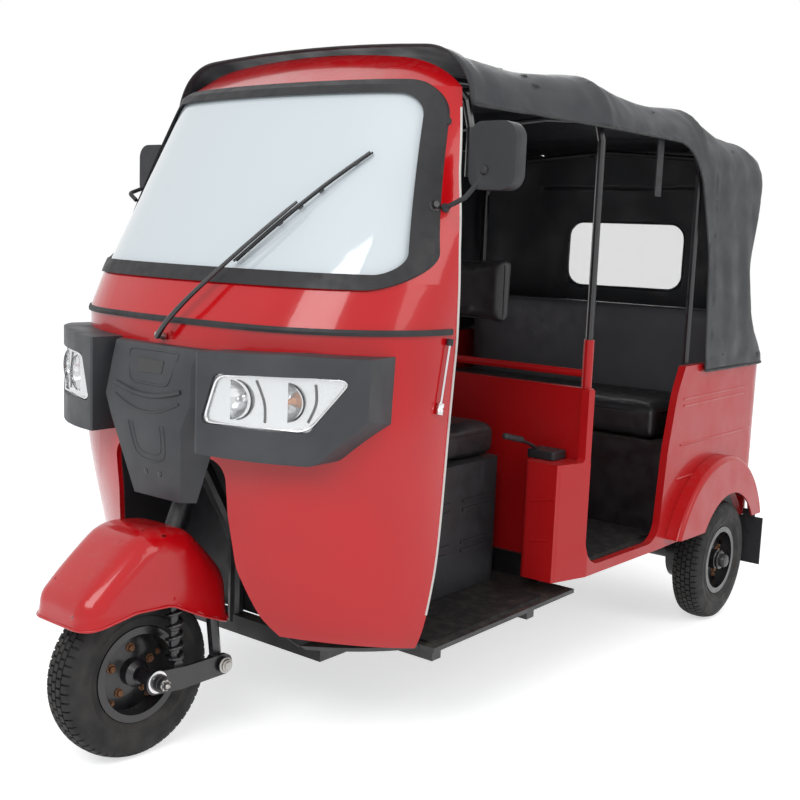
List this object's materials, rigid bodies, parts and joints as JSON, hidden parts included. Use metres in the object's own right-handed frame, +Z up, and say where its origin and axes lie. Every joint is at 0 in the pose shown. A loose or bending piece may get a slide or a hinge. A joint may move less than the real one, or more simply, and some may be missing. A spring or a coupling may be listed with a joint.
{
  "type": "auto rickshaw",
  "caption": "Three-wheeled passenger taxi with a red pressed body, black soft top, handlebar steering, bench seat and a rear luggage door",
  "frame": {"origin": "on the ground under the middle of the vehicle's overall length and width", "axes": "+X to the vehicle's left, +Y rearward along its length, +Z up"},
  "size_m": [1.444, 2.6836, 1.7646],
  "materials": {
    "red_paint": "gloss",
    "black_plastic": "matte",
    "black_paint": "satin",
    "black_fabric": "matte",
    "black_leather": "satin",
    "rubber": "matte",
    "tyre": "matte",
    "glass": "gloss",
    "lens": "gloss",
    "reflector": "gloss",
    "red_lens": "gloss",
    "steel": "satin",
    "engine_metal": "matte"
  },
  "bodies": {
    "body": {"front_fascia": "red_paint", "windscreen": "glass", "rubber_trims": "rubber", "front_wheel_well": "black_plastic", "front_cowl": "black_plastic", "headlamps": "reflector", "headlamp_lenses": "lens", "wiper": "black_paint", "mirrors": "black_plastic", "dashboard": "black_plastic", "floor_pan": "black_paint", "floor_mats": "rubber", "chassis_frame": "black_paint", "engine": "engine_metal", "exhaust": "steel", "rear_axle": "black_paint", "leaf_springs": "steel", "side_panel_left": "red_paint", "side_panel_right": "red_paint", "rear_panel": "red_paint", "partition": "red_paint", "canopy_frame": "black_paint", "canopy": "black_fabric", "rear_window": "glass", "driver_cushions": "black_leather", "underseat_box": "black_plastic", "passenger_cushions": "black_leather", "rear_fenders": "red_paint", "mudflaps": "rubber", "tail_lamps": "red_lens", "wheel_arch_linings": "black_paint", "hand_straps": "rubber"},
    "steering": {"steering_column": "black_paint", "handlebar": "black_paint", "handlebar_grips": "rubber", "front_fork": "black_paint", "front_link": "black_paint", "front_springs": "black_paint", "front_mudguard": "red_paint"},
    "front_wheel": {"front_tyre": "tyre", "front_rim": "black_paint"},
    "rear_left_wheel": {"rear_left_tyre": "tyre", "rear_left_rim": "black_paint"},
    "rear_right_wheel": {"rear_right_tyre": "tyre", "rear_right_rim": "black_paint"},
    "rear_door": {"rear_door": "red_paint"}
  },
  "joints": [
    {"name": "steering", "type": "hinge", "parent": "body", "child": "steering", "pos_m": [0, -1.00215, 0.52], "axis": [0, 0.4067, 0.9135], "range_deg": [-34, 42]},
    {"name": "front_wheel_spin", "type": "hinge", "parent": "steering", "child": "front_wheel", "pos_m": [0.00057, -1.13217, 0.20801], "axis": [0.9976, -0.0637, 0.0284], "continuous": true},
    {"name": "rear_left_wheel_spin", "type": "hinge", "parent": "body", "child": "rear_left_wheel", "pos_m": [0.6, 0.91785, 0.208], "axis": [1, 0, 0], "continuous": true},
    {"name": "rear_right_wheel_spin", "type": "hinge", "parent": "body", "child": "rear_right_wheel", "pos_m": [-0.6, 0.91785, 0.208], "axis": [1, 0, 0], "continuous": true},
    {"name": "rear_door_hinge", "type": "hinge", "parent": "body", "child": "rear_door", "pos_m": [0, 1.31685, 0.812], "axis": [1, 0, 0], "range_deg": [0, 80]}
  ]
}
